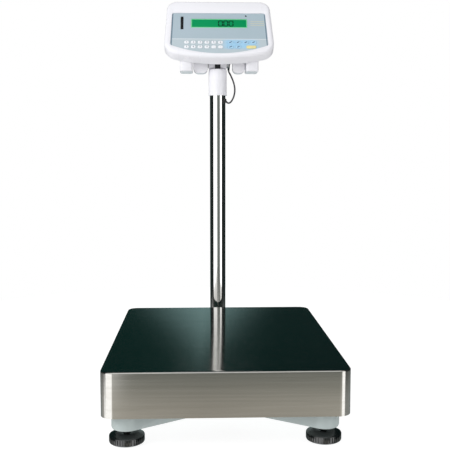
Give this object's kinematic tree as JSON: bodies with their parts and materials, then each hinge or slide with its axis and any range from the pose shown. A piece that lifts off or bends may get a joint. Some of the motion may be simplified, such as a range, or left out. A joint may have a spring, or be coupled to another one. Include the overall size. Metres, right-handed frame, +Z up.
{
  "type": "animal weighing scale",
  "caption": "Platform scale with a skirted steel pan on a cast base, levelling feet, a column behind the pan and a tilting indicator head.",
  "frame": {"origin": "on the floor, under the middle of the whole object's outline", "axes": "+X to the right of a person who reads the indicator, +Y away from them towards the column, +Z up"},
  "size_m": [0.4, 0.6256, 0.8142],
  "materials": {
    "stainless": "brushed across the width, bent skirt",
    "cast_paint": "light grey satin paint on a fine cast skin",
    "wheel_black": "glossy black with a knurled band",
    "rubber": "matt moulded rubber",
    "plain_steel": "zinc plated",
    "aluminium": "milled",
    "polished_steel": "mirror polished tube",
    "cord_dark": "satin sheath",
    "white_plastic": "fine moulded satin gloss",
    "dark_steel": "blackened",
    "black_plastic": "smoked, glossy",
    "fascia_film": "printed film, fine matt grain",
    "display_green": "backlit window",
    "board_green": "solder mask",
    "key_white": "soft matt cap",
    "key_blue": "soft matt cap",
    "key_yellow": "soft matt cap"
  },
  "bodies": {
    "base": {"base_casting": "cast_paint", "load_cell": "aluminium", "cell_lower_spacer": "plain_steel", "cell_lower_bolt_1": "plain_steel", "cell_lower_bolt_2": "plain_steel", "column_bracket": "cast_paint", "bracket_bolt_1": "plain_steel", "bracket_bolt_2": "plain_steel", "column_tube": "polished_steel", "column_grommet": "rubber", "load_cell_cable": "cord_dark", "indicator_lead": "cord_dark", "column_collar": "white_plastic", "tilt_lug": "dark_steel"},
    "platform": {"pan_carrier": "cast_paint", "cell_upper_spacer": "plain_steel", "cell_upper_bolt_1": "plain_steel", "cell_upper_bolt_2": "plain_steel", "pan_buffer_front_left": "rubber", "pan_buffer_front_right": "rubber", "pan_buffer_rear_right": "rubber", "pan_buffer_rear_left": "rubber"},
    "pan": {"weighing_pan": "stainless"},
    "head": {"tilt_saddle": "white_plastic", "tilt_bolt": "plain_steel", "lead_connector": "cord_dark", "case_rear": "white_plastic", "power_inlet": "black_plastic", "case_front": "white_plastic", "fascia": "fascia_film", "display_module": "display_green", "limit_light_bar": "black_plastic", "circuit_board": "board_green"},
    "pad_front_left": {"foot_pad_front_left": "rubber"},
    "foot_front_left": {"levelling_foot_front_left": "wheel_black"},
    "pad_front_right": {"foot_pad_front_right": "rubber"},
    "foot_front_right": {"levelling_foot_front_right": "wheel_black"},
    "pad_rear_right": {"foot_pad_rear_right": "rubber"},
    "foot_rear_right": {"levelling_foot_rear_right": "wheel_black"},
    "pad_rear_left": {"foot_pad_rear_left": "rubber"},
    "foot_rear_left": {"levelling_foot_rear_left": "wheel_black"},
    "number_key_1": {"number_key_1": "key_white"},
    "number_key_2": {"number_key_2": "key_white"},
    "number_key_3": {"number_key_3": "key_white"},
    "number_key_4": {"number_key_4": "key_white"},
    "number_key_5": {"number_key_5": "key_white"},
    "number_key_6": {"number_key_6": "key_white"},
    "number_key_7": {"number_key_7": "key_white"},
    "number_key_8": {"number_key_8": "key_white"},
    "number_key_9": {"number_key_9": "key_white"},
    "number_key_10": {"number_key_10": "key_white"},
    "number_key_11": {"number_key_11": "key_white"},
    "number_key_12": {"number_key_12": "key_white"},
    "function_key_1": {"function_key_1": "key_blue"},
    "function_key_2": {"function_key_2": "key_blue"},
    "function_key_3": {"function_key_3": "key_blue"},
    "function_key_4": {"function_key_4": "key_blue"},
    "function_key_5": {"function_key_5": "key_blue"},
    "function_key_6": {"function_key_6": "key_blue"},
    "wide_key": {"wide_key": "key_yellow"}
  },
  "joints": [
    {"name": "weighing_travel", "type": "slide", "parent": "base", "child": "platform", "axis": [0, 0, -1], "range_m": [0, 0.0006], "stiffness_N_per_m": 600000, "springref_m": -0.00012, "deforming": ["load_cell"]},
    {"name": "pan_lift", "type": "slide", "parent": "platform", "child": "pan", "axis": [0, 0, 1], "range_m": [0, 0.12]},
    {"name": "indicator_tilt", "type": "hinge", "parent": "base", "child": "head", "pos_m": [0, 0.23725, 0.667], "axis": [1, 0, 0], "range_deg": [-20, 15], "deforming": ["indicator_lead"]},
    {"name": "foot_height_front_left", "type": "slide", "parent": "base", "child": "pad_front_left", "axis": [0, 0, -1], "range_m": [-0.0055, 0.015]},
    {"name": "foot_turn_front_left", "type": "hinge", "parent": "pad_front_left", "child": "foot_front_left", "pos_m": [-0.161, -0.27275, 0.01], "axis": [0, 0, -1], "range_deg": [-1320.5, 3600.5]},
    {"name": "foot_height_front_right", "type": "slide", "parent": "base", "child": "pad_front_right", "axis": [0, 0, -1], "range_m": [-0.0055, 0.015]},
    {"name": "foot_turn_front_right", "type": "hinge", "parent": "pad_front_right", "child": "foot_front_right", "pos_m": [0.161, -0.27275, 0.01], "axis": [0, 0, -1], "range_deg": [-1320.5, 3600.5]},
    {"name": "foot_height_rear_right", "type": "slide", "parent": "base", "child": "pad_rear_right", "axis": [0, 0, -1], "range_m": [-0.0055, 0.015]},
    {"name": "foot_turn_rear_right", "type": "hinge", "parent": "pad_rear_right", "child": "foot_rear_right", "pos_m": [0.161, 0.14725, 0.01], "axis": [0, 0, -1], "range_deg": [-1320.5, 3600.5]},
    {"name": "foot_height_rear_left", "type": "slide", "parent": "base", "child": "pad_rear_left", "axis": [0, 0, -1], "range_m": [-0.0055, 0.015]},
    {"name": "foot_turn_rear_left", "type": "hinge", "parent": "pad_rear_left", "child": "foot_rear_left", "pos_m": [-0.161, 0.14725, 0.01], "axis": [0, 0, -1], "range_deg": [-1320.5, 3600.5]},
    {"name": "number_key_1_press", "type": "slide", "parent": "head", "child": "number_key_1", "axis": [0, 0.8192, -0.5736], "range_m": [0, 0.0005], "stiffness_N_per_m": 400},
    {"name": "number_key_2_press", "type": "slide", "parent": "head", "child": "number_key_2", "axis": [0, 0.8192, -0.5736], "range_m": [0, 0.0005], "stiffness_N_per_m": 400},
    {"name": "number_key_3_press", "type": "slide", "parent": "head", "child": "number_key_3", "axis": [0, 0.8192, -0.5736], "range_m": [0, 0.0005], "stiffness_N_per_m": 400},
    {"name": "number_key_4_press", "type": "slide", "parent": "head", "child": "number_key_4", "axis": [0, 0.8192, -0.5736], "range_m": [0, 0.0005], "stiffness_N_per_m": 400},
    {"name": "number_key_5_press", "type": "slide", "parent": "head", "child": "number_key_5", "axis": [0, 0.8192, -0.5736], "range_m": [0, 0.0005], "stiffness_N_per_m": 400},
    {"name": "number_key_6_press", "type": "slide", "parent": "head", "child": "number_key_6", "axis": [0, 0.8192, -0.5736], "range_m": [0, 0.0005], "stiffness_N_per_m": 400},
    {"name": "number_key_7_press", "type": "slide", "parent": "head", "child": "number_key_7", "axis": [0, 0.8192, -0.5736], "range_m": [0, 0.0005], "stiffness_N_per_m": 400},
    {"name": "number_key_8_press", "type": "slide", "parent": "head", "child": "number_key_8", "axis": [0, 0.8192, -0.5736], "range_m": [0, 0.0005], "stiffness_N_per_m": 400},
    {"name": "number_key_9_press", "type": "slide", "parent": "head", "child": "number_key_9", "axis": [0, 0.8192, -0.5736], "range_m": [0, 0.0005], "stiffness_N_per_m": 400},
    {"name": "number_key_10_press", "type": "slide", "parent": "head", "child": "number_key_10", "axis": [0, 0.8192, -0.5736], "range_m": [0, 0.0005], "stiffness_N_per_m": 400},
    {"name": "number_key_11_press", "type": "slide", "parent": "head", "child": "number_key_11", "axis": [0, 0.8192, -0.5736], "range_m": [0, 0.0005], "stiffness_N_per_m": 400},
    {"name": "number_key_12_press", "type": "slide", "parent": "head", "child": "number_key_12", "axis": [0, 0.8192, -0.5736], "range_m": [0, 0.0005], "stiffness_N_per_m": 400},
    {"name": "function_key_1_press", "type": "slide", "parent": "head", "child": "function_key_1", "axis": [0, 0.8192, -0.5736], "range_m": [0, 0.0005], "stiffness_N_per_m": 400},
    {"name": "function_key_2_press", "type": "slide", "parent": "head", "child": "function_key_2", "axis": [0, 0.8192, -0.5736], "range_m": [0, 0.0005], "stiffness_N_per_m": 400},
    {"name": "function_key_3_press", "type": "slide", "parent": "head", "child": "function_key_3", "axis": [0, 0.8192, -0.5736], "range_m": [0, 0.0005], "stiffness_N_per_m": 400},
    {"name": "function_key_4_press", "type": "slide", "parent": "head", "child": "function_key_4", "axis": [0, 0.8192, -0.5736], "range_m": [0, 0.0005], "stiffness_N_per_m": 400},
    {"name": "function_key_5_press", "type": "slide", "parent": "head", "child": "function_key_5", "axis": [0, 0.8192, -0.5736], "range_m": [0, 0.0005], "stiffness_N_per_m": 400},
    {"name": "function_key_6_press", "type": "slide", "parent": "head", "child": "function_key_6", "axis": [0, 0.8192, -0.5736], "range_m": [0, 0.0005], "stiffness_N_per_m": 400},
    {"name": "wide_key_press", "type": "slide", "parent": "head", "child": "wide_key", "axis": [0, 0.8192, -0.5736], "range_m": [0, 0.0005], "stiffness_N_per_m": 400}
  ],
  "couplings": [
    {"joint": "foot_turn_front_left", "follows": "foot_height_front_left", "rad_per_m": 4188.8},
    {"joint": "foot_turn_front_right", "follows": "foot_height_front_right", "rad_per_m": 4188.8},
    {"joint": "foot_turn_rear_right", "follows": "foot_height_rear_right", "rad_per_m": 4188.8},
    {"joint": "foot_turn_rear_left", "follows": "foot_height_rear_left", "rad_per_m": 4188.8}
  ]
}
